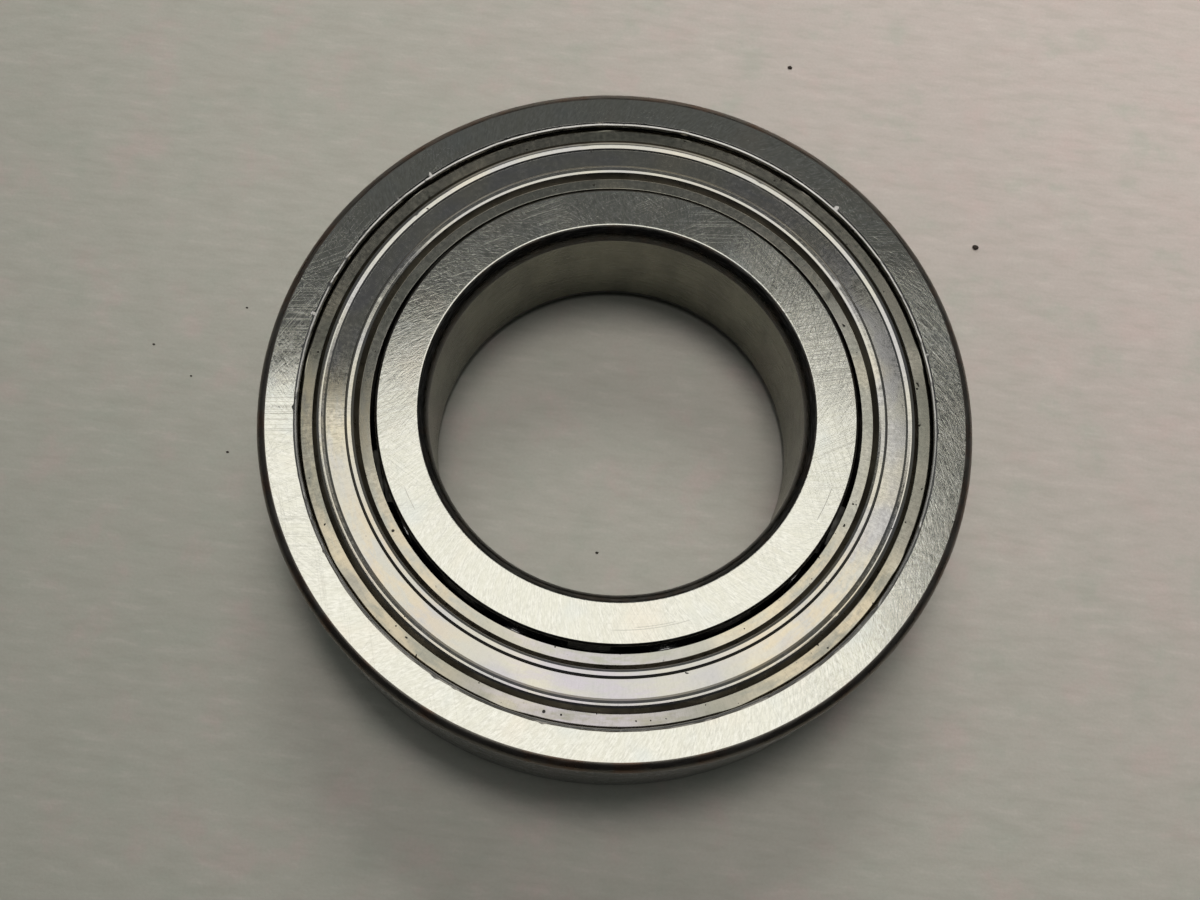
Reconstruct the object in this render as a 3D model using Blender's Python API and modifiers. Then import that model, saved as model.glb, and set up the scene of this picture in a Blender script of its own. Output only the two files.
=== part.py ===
"""Single-row deep-groove ball bearing, 45 x 85 x 19 mm, with a pressed-metal shield on each side.

The bearing axis is Z and the origin is the bore centre at mid-width. "Front" is the +Z side.
The outer ring stands still. The inner ring, the cage and each ball turn about axes parallel to Z.
All lengths are in metres.
"""

import math

import bmesh
import bpy
from mathutils import Matrix, Vector

MM = 0.001

# Boundary dimensions of the standard size.
BORE_RADIUS = 45.0 * MM / 2
OUTER_RADIUS = 85.0 * MM / 2
HALF_WIDTH = 19.0 * MM / 2

# Ball set.
BALL_COUNT = 10
BALL_RADIUS = 12.7 * MM / 2
PITCH_RADIUS = 65.0 * MM / 2
BALL_STEP = 2 * math.pi / BALL_COUNT
BALL_SEGMENTS = 16
BALL_RINGS = 10

# Raceways: a groove a little wider than the ball, with room left for the flat facets of the rings.
RACE_CLEARANCE = 0.25 * MM
RACE_ARC_RADIUS = 0.52 * 2 * BALL_RADIUS
RACE_STEPS = 8

# Turned parts.
RING_STEPS = 60
CORNER_STEPS = 2
MERGE_DISTANCE = 0.00001
SHARP_ANGLE = math.radians(40)

# Outer ring: corners, shield groove and shoulder. Depths are measured down from the face.
OUTER_CORNER = 1.09 * MM
OUTER_SHOULDER_RADIUS = 36.25 * MM
MOUTH_RADIUS = 37.8 * MM
MOUTH_BEVEL = 0.25 * MM
GROOVE_RADIUS = 38.55 * MM
GROOVE_TOP_DEPTH = 0.85 * MM
GROOVE_FLOOR_DEPTH = 2.25 * MM

# Inner ring: the bore corner is longer along the axis than across the face.
BORE_CORNER_RADIAL = 1.36 * MM
BORE_CORNER_AXIAL = 2.05 * MM
INNER_SHOULDER_RADIUS = 28.75 * MM
INNER_BEVEL = 0.36 * MM

# Shield sheet.
SHIELD_THICKNESS = 0.5 * MM
SHIELD_LIP_RADIUS = 29.3 * MM
SHIELD_LIP_DEPTH = 1.15 * MM
SHIELD_BAND_DEPTH = 0.62 * MM
SHIELD_BEAD_DEPTH = 0.42 * MM
SHIELD_RIM_DEPTH = 1.05 * MM
SHIELD_EDGE_RADIUS = 38.1 * MM
SHIELD_EDGE_DEPTH = 1.5 * MM
INNER_BEAD_RADIUS = 31.5 * MM
OUTER_BEAD_RADIUS = 35.2 * MM
BEAD_HALF_WIDTH = 0.65 * MM
STEP_WIDTH = 0.45 * MM

# Ribbon cage: two half ribbons, each with a spherical pocket for every ball and a flat web between.
CAGE_SHEET = 0.8 * MM
CAGE_INNER_RADIUS = 29.6 * MM
CAGE_OUTER_RADIUS = 35.4 * MM
CAGE_WEB_HEIGHT = 0.15 * MM
POCKET_RADIUS = BALL_RADIUS + 0.35 * MM
POCKET_STEPS = 8
CAGE_ROWS = 3

# Rivets through the cage webs.
RIVET_SHANK_RADIUS = 1.0 * MM
RIVET_HOLE_RADIUS = 1.25 * MM
RIVET_HEAD_RADIUS = 1.7 * MM
RIVET_HEAD_HEIGHT = 0.8 * MM
RIVET_GAP = 0.2 * MM
RIVET_STEPS = 10
RIVET_DOME_STEPS = 2

# Finishes: colour, roughness, metallic.
GROUND_STEEL = ((0.56, 0.55, 0.52, 1.0), 0.30, 1.0)
SHIELD_STEEL = ((0.60, 0.59, 0.56, 1.0), 0.34, 1.0)
CAGE_STEEL = ((0.42, 0.41, 0.39, 1.0), 0.45, 1.0)
BALL_STEEL = ((0.78, 0.78, 0.79, 1.0), 0.08, 1.0)
RIVET_STEEL = ((0.50, 0.49, 0.47, 1.0), 0.40, 1.0)


def clear_scene():
    """Remove every object that the new file starts with."""
    for item in list(bpy.data.objects):
        bpy.data.objects.remove(item, do_unlink=True)


def make_collection(name):
    """Return a new collection linked to the scene."""
    collection = bpy.data.collections.new(name)
    bpy.context.scene.collection.children.link(collection)
    return collection


def make_material(name, finish):
    """Return a Principled material with the finish's colour, roughness and metallic value."""
    colour, roughness, metallic = finish
    material = bpy.data.materials.new(name)
    material.use_nodes = True
    shader = material.node_tree.nodes["Principled BSDF"]
    shader.inputs["Base Color"].default_value = colour
    shader.inputs["Roughness"].default_value = roughness
    shader.inputs["Metallic"].default_value = metallic
    material.diffuse_color = colour
    return material


def add_object(name, mesh, collection, material, parent=None):
    """Link a mesh as a named object, finish it and hang it on its parent."""
    item = bpy.data.objects.new(name, mesh)
    collection.objects.link(item)
    if not mesh.materials:
        mesh.materials.append(material)
    item.parent = parent
    return item


def elliptic_corner(centre, radial, axial, start, end):
    """Points of a rounded corner, as (radius, height), from one angle to another."""
    points = []
    for step in range(CORNER_STEPS + 1):
        angle = start + (end - start) * step / CORNER_STEPS
        points.append((centre[0] + radial * math.cos(angle), centre[1] + axial * math.sin(angle)))
    return points


def raceway(bottom_radius, shoulder_radius):
    """Points of a raceway from its top edge to its bottom edge, for the inner or the outer ring."""
    side = 1 if bottom_radius > shoulder_radius else -1
    centre_radius = bottom_radius - side * RACE_ARC_RADIUS
    reach = abs(shoulder_radius - centre_radius)
    half_angle = math.acos(reach / RACE_ARC_RADIUS)
    points = []
    for step in range(RACE_STEPS + 1):
        angle = half_angle * (1 - 2 * step / RACE_STEPS)
        radius = centre_radius + side * RACE_ARC_RADIUS * math.cos(angle)
        points.append((radius, RACE_ARC_RADIUS * math.sin(angle)))
    return points


def flipped(points):
    """The same outline mirrored to the other face, and run the other way."""
    return [(radius, -height) for radius, height in reversed(points)]


def profile_mesh(name, points, closed):
    """A mesh of the edges along a profile that stands in the XZ plane at +X."""
    bm = bmesh.new()
    verts = [bm.verts.new((radius, 0.0, height)) for radius, height in points]
    for first, second in zip(verts, verts[1:]):
        bm.edges.new((first, second))
    if closed:
        bm.edges.new((verts[-1], verts[0]))
    mesh = bpy.data.meshes.new(name)
    bm.to_mesh(mesh)
    bm.free()
    return mesh


def add_screw(item, steps):
    """Turn an object's profile once about Z."""
    screw = item.modifiers.new("turn", "SCREW")
    screw.axis = "Z"
    screw.angle = 2 * math.pi
    screw.steps = steps
    screw.render_steps = steps
    screw.use_smooth_shade = True
    screw.use_merge_vertices = True
    screw.merge_threshold = MERGE_DISTANCE
    return screw


def turned(name, points, collection, material, parent=None, closed=True, steps=RING_STEPS):
    """A turned piece from its profile of (radius, height) points."""
    item = add_object(name, profile_mesh(name, points, closed), collection, material, parent)
    add_screw(item, steps)
    return item


def outer_ring_profile():
    """The outer ring's section, run down its outside and back up its inside."""
    top = HALF_WIDTH
    corner_centre = (OUTER_RADIUS - OUTER_CORNER, top - OUTER_CORNER)
    outside = elliptic_corner(corner_centre, OUTER_CORNER, OUTER_CORNER, math.pi / 2, 0.0)
    mouth = [
        (OUTER_SHOULDER_RADIUS, top - GROOVE_FLOOR_DEPTH),
        (GROOVE_RADIUS, top - GROOVE_FLOOR_DEPTH),
        (GROOVE_RADIUS, top - GROOVE_TOP_DEPTH),
        (MOUTH_RADIUS, top - GROOVE_TOP_DEPTH),
        (MOUTH_RADIUS, top - MOUTH_BEVEL),
        (MOUTH_RADIUS + MOUTH_BEVEL, top),
    ]
    race_bottom = PITCH_RADIUS + BALL_RADIUS + RACE_CLEARANCE
    race = raceway(race_bottom, OUTER_SHOULDER_RADIUS)
    return outside + flipped(outside) + flipped(mouth) + list(reversed(race)) + mouth


def inner_ring_profile():
    """The inner ring's section, run down its outside and back up its bore."""
    top = HALF_WIDTH
    corner_centre = (BORE_RADIUS + BORE_CORNER_RADIAL, top - BORE_CORNER_AXIAL)
    bore = elliptic_corner(corner_centre, BORE_CORNER_RADIAL, BORE_CORNER_AXIAL, math.pi, math.pi / 2)
    rim = [
        (INNER_SHOULDER_RADIUS - INNER_BEVEL, top),
        (INNER_SHOULDER_RADIUS, top - INNER_BEVEL),
    ]
    race_bottom = PITCH_RADIUS - BALL_RADIUS - RACE_CLEARANCE
    race = raceway(race_bottom, INNER_SHOULDER_RADIUS)
    return rim + race + flipped(rim) + flipped(bore) + bore


def shield_profile():
    """The shield's outer surface from its inner lip to its edge in the groove, on the front side."""
    face = HALF_WIDTH
    inner_foot = INNER_BEAD_RADIUS - BEAD_HALF_WIDTH
    outer_foot = OUTER_BEAD_RADIUS + BEAD_HALF_WIDTH
    outline = [
        (SHIELD_LIP_RADIUS, SHIELD_LIP_DEPTH),
        (inner_foot - STEP_WIDTH, SHIELD_LIP_DEPTH),
        (inner_foot, SHIELD_BAND_DEPTH),
        (INNER_BEAD_RADIUS, SHIELD_BEAD_DEPTH),
        (INNER_BEAD_RADIUS + BEAD_HALF_WIDTH, SHIELD_BAND_DEPTH),
        (OUTER_BEAD_RADIUS - BEAD_HALF_WIDTH, SHIELD_BAND_DEPTH),
        (OUTER_BEAD_RADIUS, SHIELD_BEAD_DEPTH),
        (outer_foot, SHIELD_BAND_DEPTH),
        (outer_foot + STEP_WIDTH, SHIELD_RIM_DEPTH),
        (MOUTH_RADIUS - MOUTH_BEVEL, SHIELD_RIM_DEPTH),
        (SHIELD_EDGE_RADIUS, SHIELD_EDGE_DEPTH),
    ]
    return [(radius, face - depth) for radius, depth in outline]


def add_solidify(item, thickness, offset):
    """Give an open surface its sheet thickness, on the side of its normals when offset is 1."""
    sheet = item.modifiers.new("sheet", "SOLIDIFY")
    sheet.thickness = thickness
    sheet.offset = offset
    sheet.use_even_offset = True
    return sheet


def make_shield(name, turn_over, collection, material, parent):
    """A pressed shield. The back one is the same pressing turned over about X."""
    item = turned(name, shield_profile(), collection, material, parent, closed=False)
    add_solidify(item, SHIELD_THICKNESS, -1.0)
    item.rotation_euler = (math.pi if turn_over else 0.0, 0.0, 0.0)
    return item


def pocket_point(ball, sample, radius):
    """A point on the ball side of the ribbon, on the pocket of one ball, as x, y and z."""
    section = math.sqrt(POCKET_RADIUS ** 2 - (radius - PITCH_RADIUS) ** 2)
    end_angle = math.acos(CAGE_WEB_HEIGHT / section)
    angle = end_angle * (2 * sample / POCKET_STEPS - 1)
    height = section * math.cos(angle)
    flat_square = POCKET_RADIUS ** 2 - height ** 2
    cosine = (radius ** 2 + PITCH_RADIUS ** 2 - flat_square) / (2 * radius * PITCH_RADIUS)
    away = math.copysign(math.acos(min(1.0, cosine)), angle)
    turn = ball * BALL_STEP + away
    return Vector((radius * math.cos(turn), radius * math.sin(turn), height))


def cage_mesh():
    """The ball side of a half ribbon: a strip bent round the axis and pressed over the balls."""
    columns = BALL_COUNT * (POCKET_STEPS + 1)
    bm = bmesh.new()
    bmesh.ops.create_grid(bm, x_segments=columns, y_segments=CAGE_ROWS, size=1.0)
    for vert in bm.verts:
        column = round((vert.co.x + 1) / 2 * columns)
        across = (vert.co.y + 1) / 2
        radius = CAGE_OUTER_RADIUS + (CAGE_INNER_RADIUS - CAGE_OUTER_RADIUS) * across
        ball, sample = divmod(column, POCKET_STEPS + 1)
        vert.co = pocket_point(ball, sample, radius)
    bmesh.ops.remove_doubles(bm, verts=bm.verts, dist=MERGE_DISTANCE)
    mesh = bpy.data.meshes.new("cage_half")
    bm.to_mesh(mesh)
    bm.free()
    mesh.shade_smooth()
    mesh.set_sharp_from_angle(angle=SHARP_ANGLE)
    return mesh


def web_places():
    """The middle of each cage web, halfway between two balls."""
    for index in range(BALL_COUNT):
        turn = (index + 0.5) * BALL_STEP
        yield index, Vector((PITCH_RADIUS * math.cos(turn), PITCH_RADIUS * math.sin(turn), 0.0))


def make_hole_cutter(collection):
    """One cutter for all the rivet holes of a cage half."""
    bm = bmesh.new()
    length = 4 * (CAGE_SHEET + CAGE_WEB_HEIGHT)
    for _, place in web_places():
        bmesh.ops.create_cone(
            bm,
            cap_ends=True,
            segments=RIVET_STEPS,
            radius1=RIVET_HOLE_RADIUS,
            radius2=RIVET_HOLE_RADIUS,
            depth=length,
            matrix=Matrix.Translation(place),
        )
    mesh = bpy.data.meshes.new("rivet_holes")
    bm.to_mesh(mesh)
    bm.free()
    cutter = bpy.data.objects.new("rivet_holes", mesh)
    collection.objects.link(cutter)
    cutter.hide_render = True
    cutter.display_type = "WIRE"
    return cutter


def make_cage_half(name, mesh, turn_over, cutter, collection, material, parent):
    """Half of the ribbon cage. The back half is the front one turned over about X."""
    item = add_object(name, mesh, collection, material, parent)
    item.rotation_euler = (math.pi if turn_over else 0.0, 0.0, 0.0)
    add_solidify(item, CAGE_SHEET, 1.0)
    holes = item.modifiers.new("rivet_holes", "BOOLEAN")
    holes.operation = "DIFFERENCE"
    holes.object = cutter
    return item


def rivet_profile():
    """A rivet with a domed head at each end, from its top to its bottom."""
    seat = CAGE_WEB_HEIGHT + CAGE_SHEET + RIVET_GAP
    dome = []
    for step in range(RIVET_DOME_STEPS + 1):
        angle = math.pi / 2 * (1 - step / RIVET_DOME_STEPS)
        radius = RIVET_HEAD_RADIUS * math.cos(angle)
        dome.append((radius, seat + RIVET_HEAD_HEIGHT * math.sin(angle)))
    head = [(0.0, dome[0][1])] + dome[1:] + [(RIVET_SHANK_RADIUS, seat)]
    return head + flipped(head)


def make_rivets(collection, material, parent):
    """A rivet in each web of the cage."""
    for index, place in web_places():
        name = f"rivet_{index + 1:02d}"
        rivet = turned(name, rivet_profile(), collection, material, parent, False, RIVET_STEPS)
        rivet.location = place


def ball_mesh():
    """A ball, with its poles along its own spin axis."""
    bm = bmesh.new()
    bmesh.ops.create_uvsphere(bm, u_segments=BALL_SEGMENTS, v_segments=BALL_RINGS, radius=BALL_RADIUS)
    mesh = bpy.data.meshes.new("ball")
    bm.to_mesh(mesh)
    bm.free()
    mesh.shade_smooth()
    return mesh


def make_balls(collection, material, parent):
    """The balls on their pitch circle, each with its origin at its own centre."""
    mesh = ball_mesh()
    for index in range(BALL_COUNT):
        turn = index * BALL_STEP
        ball = add_object(f"ball_{index + 1:02d}", mesh, collection, material, parent)
        ball.location = (PITCH_RADIUS * math.cos(turn), PITCH_RADIUS * math.sin(turn), 0.0)


def make_cage(parts, cutters, axis):
    """Both halves of the cage and the rivets that hold them together."""
    mesh = cage_mesh()
    cutter = make_hole_cutter(cutters)
    steel = make_material("cage", CAGE_STEEL)
    make_cage_half("cage_half_front", mesh, False, cutter, parts, steel, axis)
    make_cage_half("cage_half_back", mesh, True, cutter, parts, steel, axis)
    make_rivets(parts, make_material("rivet", RIVET_STEEL), axis)


def main():
    """Build the bearing."""
    clear_scene()
    parts = make_collection("ball_bearing")
    cutters = make_collection("cutters")

    outer = turned("outer_ring", outer_ring_profile(), parts, make_material("outer_ring", GROUND_STEEL))
    turned("inner_ring", inner_ring_profile(), parts, make_material("inner_ring", GROUND_STEEL))

    shield_steel = make_material("shield", SHIELD_STEEL)
    make_shield("shield_front", False, parts, shield_steel, outer)
    make_shield("shield_back", True, parts, shield_steel, outer)

    cage_axis = bpy.data.objects.new("cage_axis", None)
    parts.objects.link(cage_axis)
    make_cage(parts, cutters, cage_axis)
    make_balls(parts, make_material("ball", BALL_STEEL), cage_axis)
    bpy.context.view_layer.update()


main()
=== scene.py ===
import math

import bmesh
import bpy
import numpy as np
from mathutils import Matrix, Vector


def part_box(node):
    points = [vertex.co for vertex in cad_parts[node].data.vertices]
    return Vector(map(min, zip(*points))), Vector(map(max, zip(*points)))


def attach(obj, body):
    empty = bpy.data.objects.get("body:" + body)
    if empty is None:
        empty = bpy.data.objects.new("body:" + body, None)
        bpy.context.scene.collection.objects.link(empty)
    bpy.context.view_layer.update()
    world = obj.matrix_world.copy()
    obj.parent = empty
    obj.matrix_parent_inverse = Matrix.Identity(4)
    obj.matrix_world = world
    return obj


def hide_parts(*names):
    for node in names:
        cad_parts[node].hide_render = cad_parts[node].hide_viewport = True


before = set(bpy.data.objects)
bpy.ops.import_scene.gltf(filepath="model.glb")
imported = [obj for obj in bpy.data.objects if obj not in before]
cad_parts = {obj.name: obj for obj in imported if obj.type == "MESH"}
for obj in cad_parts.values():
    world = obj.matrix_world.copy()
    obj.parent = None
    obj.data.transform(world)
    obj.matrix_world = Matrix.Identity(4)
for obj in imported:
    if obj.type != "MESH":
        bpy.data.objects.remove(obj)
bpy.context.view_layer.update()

MM = 0.001
TURN = 2 * math.pi


def radial_range(node):
    """The smallest and largest distance of a CAD node's points from the bearing's axis."""
    radii = [math.hypot(vert.co.x, vert.co.y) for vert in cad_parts[node].data.vertices]
    return min(radii), max(radii)


def mid(node):
    """The middle of a CAD node's box."""
    low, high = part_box(node)
    return (low + high) / 2


# Boundary sizes, from the frame.
HALF_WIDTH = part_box("outer_ring")[1].z
OUTER_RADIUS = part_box("outer_ring")[1].x
BORE_RADIUS = radial_range("inner_ring")[0]
BALL_CENTRE = mid("ball_01")
PITCH_RADIUS = BALL_CENTRE.x
BALL_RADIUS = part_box("ball_01")[1].z
BALL_COUNT = sum(1 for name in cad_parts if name.startswith("ball_"))
BALL_STEP = TURN / BALL_COUNT

# Mesh fineness.
RING_SEGMENTS = 900
SHIELD_SEGMENTS = 720
ARC_STEPS = 3
RACE_STEPS = 10

# Outer ring. Depths are measured down from the face.
OD_CORNER = 1.09 * MM
OD_CORNER_STEPS = 8
FACE_EDGE = 0.05 * MM
MOUTH_RADIUS = 38.12 * MM
LEDGE_OUTER = 37.97 * MM
LEDGE_INNER = 37.70 * MM
LEDGE_DEPTH = 0.14 * MM
LEDGE_DROP = 0.07 * MM
WALL_DEPTH = 0.55 * MM
GROOVE_TOP = 0.85 * MM
GROOVE_RADIUS = 38.45 * MM
GROOVE_FLOOR = 2.25 * MM
OUTER_SHOULDER = 36.25 * MM

# Inner ring.
BORE_CORNER_RADIAL = 1.36 * MM
BORE_CORNER_AXIAL = 2.05 * MM
BORE_CORNER_STEPS = 13
INNER_SHOULDER = 28.65 * MM
INNER_BEVEL = 0.26 * MM

# Raceways.
RACE_CLEARANCE = 0.12 * MM
RACE_ARC = 0.52 * 2 * BALL_RADIUS

# Shield pressing.
SHEET = 0.5 * MM

# Cage and rivets.
CAGE_SHEET = 0.8 * MM
CAGE_INNER = 29.6 * MM
CAGE_OUTER = 35.4 * MM
CAGE_WEB = 0.15 * MM
POCKET_RADIUS = BALL_RADIUS + 0.35 * MM
POCKET_COLUMNS = 28
CAGE_ROWS = 12
CAGE_EDGE = 0.12 * MM
RIVET_HEAD_RADIUS = 1.7 * MM
RIVET_HEAD_HEIGHT = 0.8 * MM
RIVET_SHANK = 1.0 * MM
RIVET_SIDES = 32
RIVET_DOME_STEPS = 8
RIVET_SEAT = CAGE_WEB + CAGE_SHEET + 0.2 * MM

random_numbers = np.random.default_rng(11)


# ---------------------------------------------------------------- outlines

def rounded(corners):
    """Points (radius, height, zone) of a closed outline with rounded corners.

    Each corner is (radius, height, rounding, zone). The zone is the finish of the side that
    follows it.
    """
    points = []
    count = len(corners)
    for index, (radius, height, rounding, zone) in enumerate(corners):
        here = Vector((radius, height))
        before = corners[index - 1]
        after = corners[(index + 1) % count]
        if rounding <= 0:
            points.append((radius, height, zone))
            continue
        back = (Vector(before[:2]) - here)
        ahead = (Vector(after[:2]) - here)
        reach = 0.49 * min(back.length, ahead.length)
        back.normalize()
        ahead.normalize()
        half = back.angle(ahead) / 2
        if half > math.pi / 2 - 0.01:
            points.append((radius, height, zone))
            continue
        tangent = min(rounding / math.tan(half), reach)
        size = tangent * math.tan(half)
        centre = here + (back + ahead).normalized() * (size / math.sin(half))
        start = here + back * tangent - centre
        end = here + ahead * tangent - centre
        sweep = math.pi - 2 * half
        for step in range(ARC_STEPS + 1):
            share = step / ARC_STEPS
            spoke = (
                start * math.sin((1 - share) * sweep) + end * math.sin(share * sweep)
            ) / math.sin(sweep)
            spot = centre + spoke
            points.append((spot.x, spot.y, zone))
    return points


def mirrored(corners, last_zone):
    """The corners on the other face, run the other way, each with the finish of its own side."""
    zones = [corner[3] for corner in corners]
    sides = [last_zone] + zones[:-1]
    return [(c[0], -c[1], c[2], side) for c, side in zip(reversed(corners), reversed(sides))]


def elliptic(centre, radial, axial, start, end, steps, zone):
    """Corner points along part of an ellipse, with no further rounding."""
    corners = []
    for step in range(steps + 1):
        angle = start + (end - start) * step / steps
        across = radial * math.cos(angle)
        rise = axial * math.sin(angle)
        corners.append((centre[0] + across, centre[1] + rise, 0.0, zone))
    return corners


def raceway(bottom, shoulder, zone):
    """A raceway from its top edge to its bottom edge."""
    side = 1 if bottom > shoulder else -1
    centre = bottom - side * RACE_ARC
    half = math.acos(abs(shoulder - centre) / RACE_ARC)
    corners = []
    for step in range(RACE_STEPS + 1):
        angle = half * (1 - 2 * step / RACE_STEPS)
        radius = centre + side * RACE_ARC * math.cos(angle)
        corners.append((radius, RACE_ARC * math.sin(angle), 0.0, zone))
    return corners


def surface_normals(points, order):
    """A normal for each point of a closed grid, led by the largest faces round it."""
    grid = points.reshape(*order.shape[:2], 3)
    corners = grid.reshape(-1, 3)[order]
    across = np.cross(corners[:, :, 2] - corners[:, :, 0], corners[:, :, 3] - corners[:, :, 1])
    weighted = across * np.linalg.norm(across, axis=2, keepdims=True)
    total = weighted + np.roll(weighted, 1, axis=0)
    total = total + np.roll(total, 1, axis=1)
    return (total / np.linalg.norm(total, axis=2, keepdims=True)).reshape(-1, 3)


def lathe(name, outline, segments, materials, wear=None, turn_over=False):
    """A closed ring from its outline, with the wear that the angle brings."""
    section = np.array([point[:2] for point in outline])
    zones = [point[2] for point in outline]
    count = len(outline)
    following = np.roll(section, -1, axis=0)
    area = np.sum(section[:, 0] * following[:, 1] - following[:, 0] * section[:, 1])
    angle = np.arange(segments)[:, None] * TURN / segments
    radius = np.repeat(section[None, :, 0], segments, axis=0)
    height = np.repeat(section[None, :, 1], segments, axis=0)
    if wear:
        radius, height = wear(angle, radius, height)
    points = np.stack([radius * np.cos(angle), radius * np.sin(angle), height], axis=2).reshape(-1, 3)
    here = np.arange(segments)[:, None] * count + np.arange(count)[None, :]
    up = np.arange(segments)[:, None] * count + (np.arange(count)[None, :] + 1) % count
    over = (here + count) % (segments * count)
    both = (up + count) % (segments * count)
    order = (here, over, both, up) if area > 0 else (here, up, both, over)
    order = np.stack(order, axis=2)
    if turn_over:
        points = points * (1, -1, -1)
    faces = order.reshape(-1, 4)
    mesh = bpy.data.meshes.new(name)
    mesh.from_pydata(points.tolist(), [], faces.tolist())
    mesh.polygons.foreach_set("material_index", np.tile(np.array(zones, np.int32), segments))
    for material in materials:
        mesh.materials.append(material)
    mesh.shade_smooth()
    mesh.normals_split_custom_set_from_vertices(surface_normals(points, order).tolist())
    piece = bpy.data.objects.new(name, mesh)
    bpy.context.scene.collection.objects.link(piece)
    return piece


# ---------------------------------------------------------------- materials

class Graph:
    """A material's node tree, with short calls that add a node and return its output."""

    def __init__(self, name):
        self.material = bpy.data.materials.new(name)
        self.material.use_nodes = True
        self.tree = self.material.node_tree
        self.shader = self.tree.nodes["Principled BSDF"]
        self.place = self.add("ShaderNodeTexCoord").outputs["Object"]

    def add(self, kind, inputs=None, **settings):
        node = self.tree.nodes.new(kind)
        for key, value in settings.items():
            setattr(node, key, value)
        for socket, value in (inputs or {}).items():
            self.put(node.inputs[socket], value)
        return node

    def put(self, socket, value):
        if isinstance(value, bpy.types.NodeSocket):
            self.tree.links.new(value, socket)
        else:
            socket.default_value = value

    def math(self, operation, first, second=0.0):
        return self.add("ShaderNodeMath", {0: first, 1: second}, operation=operation).outputs[0]

    def level(self, value, low, high, out_low=0.0, out_high=1.0):
        """A value carried smoothly from one range to another, and held at its ends."""
        node = self.add(
            "ShaderNodeMapRange",
            {
                "Value": value,
                "From Min": low,
                "From Max": high,
                "To Min": out_low,
                "To Max": out_high,
            },
            interpolation_type="SMOOTHSTEP",
        )
        return node.outputs["Result"]

    def mix(self, share, first, second, blend="MIX"):
        """Two colours mixed."""
        node = self.add("ShaderNodeMix", data_type="RGBA", blend_type=blend)
        self.put(node.inputs[0], share)
        self.put(node.inputs[6], first)
        self.put(node.inputs[7], second)
        return node.outputs[2]

    def noise(self, place, scale=1.0, detail=2.0, roughness=0.5, distortion=0.0, shift=0.0):
        if shift:
            place = self.vector("ADD", place, (shift, shift, shift))
        node = self.add(
            "ShaderNodeTexNoise",
            {
                "Vector": place,
                "Scale": scale,
                "Detail": detail,
                "Roughness": roughness,
                "Distortion": distortion,
            },
        )
        return node.outputs[0]

    def flat(self):
        """The place with no height."""
        split = self.add("ShaderNodeSeparateXYZ", {0: self.place})
        flat = self.add("ShaderNodeCombineXYZ", {"X": split.outputs["X"], "Y": split.outputs["Y"]})
        return flat.outputs[0], split.outputs["Z"]

    def vector(self, operation, first, second=None, output="Vector"):
        inputs = {0: first} if second is None else {0: first, 1: second}
        return self.add("ShaderNodeVectorMath", inputs, operation=operation).outputs[output]

    def polar(self, around, outward, axial=0.0, twist=0.0, shift=0.0):
        """A place that runs round the axis.

        The first three are cells per radian, per metre out and per metre up.
        """
        flat, height = self.flat()
        radius = self.vector("LENGTH", flat, output="Value")
        spoke = self.vector("NORMALIZE", flat)
        if twist:
            angle = self.math("MULTIPLY", radius, twist)
            spoke = self.add(
                "ShaderNodeVectorRotate", {"Vector": spoke, "Angle": angle}, rotation_type="Z_AXIS"
            ).outputs[0]
        circle = self.vector("MULTIPLY", spoke, (around, around, 0.0))
        out = self.math("MULTIPLY", radius, outward)
        if axial:
            out = self.math("ADD", out, self.math("MULTIPLY", height, axial))
        rise = self.add("ShaderNodeCombineXYZ", {"Z": self.math("ADD", out, shift)}).outputs[0]
        return self.vector("ADD", circle, rise)

    def lines(self, angle, width, length, share, shift=0.0):
        """Thin straight scratches at one angle: 1 on a scratch and 0 between them."""
        turned = self.add(
            "ShaderNodeMapping",
            {"Vector": self.place, "Location": (shift, shift, 0.0), "Rotation": (0.0, 0.0, angle)},
        ).outputs[0]
        stretched = self.vector("MULTIPLY", turned, (1 / width, 1 / length, 0.0))
        value = self.noise(stretched, 1.0, 0.0)
        return self.level(value, share, share + 0.06)

    def arc(self, radius, width, start, end):
        """A thin scratch round the axis between two angles in degrees."""
        flat, _ = self.flat()
        reach = self.vector("LENGTH", flat, output="Value")
        gap = self.math("ABSOLUTE", self.math("SUBTRACT", reach, radius))
        line = self.level(gap, 0.4 * width, width, 1.0, 0.0)
        middle = math.radians((start + end) / 2)
        half = math.radians((end - start) / 2)
        aim = self.vector("DOT_PRODUCT", flat, (math.cos(middle), math.sin(middle), 0.0), "Value")
        facing = self.math("DIVIDE", aim, reach)
        return self.math("MULTIPLY", line, self.level(facing, math.cos(half), math.cos(0.8 * half)))

    def sector(self, degrees, spread):
        """1 at an angle round the axis, and 0 where it is more than the spread away."""
        flat, _ = self.flat()
        spoke = self.vector("NORMALIZE", flat)
        aim = (math.cos(math.radians(degrees)), math.sin(math.radians(degrees)), 0.0)
        facing = self.vector("DOT_PRODUCT", spoke, aim, "Value")
        return self.level(facing, math.cos(math.radians(spread)), 1.0)

    def spot(self, degrees, radius, size):
        """A round mark at an angle and radius, whatever the height."""
        angle = math.radians(degrees)
        centre = (radius * math.cos(angle), radius * math.sin(angle), 0.0)
        flat = self.vector("MULTIPLY", self.place, (1, 1, 0))
        gap = self.vector("DISTANCE", flat, centre, "Value")
        return self.level(gap, 0.6 * size, size, 1.0, 0.0)

    def bump(self, height, depth, normal=None):
        """A height from 0 to 1 turned into relief of a real depth in metres."""
        node = self.add("ShaderNodeBump", {"Height": height, "Distance": depth, "Strength": 1.0})
        if normal is not None:
            self.put(node.inputs["Normal"], normal)
        return node.outputs["Normal"]

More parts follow.
